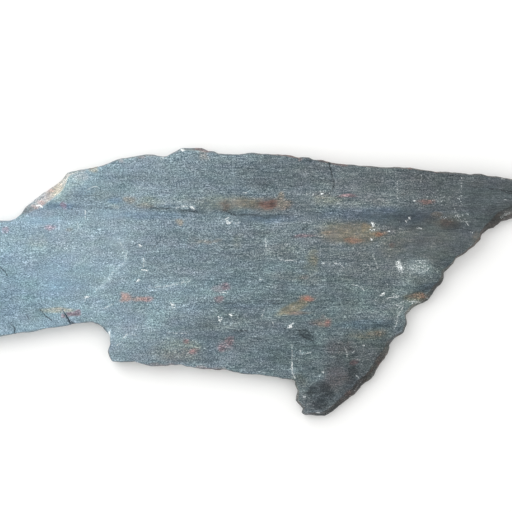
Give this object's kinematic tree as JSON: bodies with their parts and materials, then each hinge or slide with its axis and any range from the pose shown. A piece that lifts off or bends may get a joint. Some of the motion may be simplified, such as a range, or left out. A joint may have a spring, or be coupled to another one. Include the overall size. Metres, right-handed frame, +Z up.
{
  "type": "slate flagstone",
  "caption": "Irregular slate flagstone: a flat slab split along its cleavage and broken all round, with a stepped face, a notch and a pointed corner, for paving, edging or stacking.",
  "frame": {"origin": "middle of the bounding box, on the surface that the slab lies on", "axes": "+X along the grain, towards the pointed end; +Y across the grain; +Z up, out of the cleavage face that shows"},
  "size_m": [0.9036, 0.403, 0.0312],
  "materials": {
    "slate": "matte"
  },
  "bodies": {
    "root": {"flagstone": "slate"}
  },
  "joints": []
}
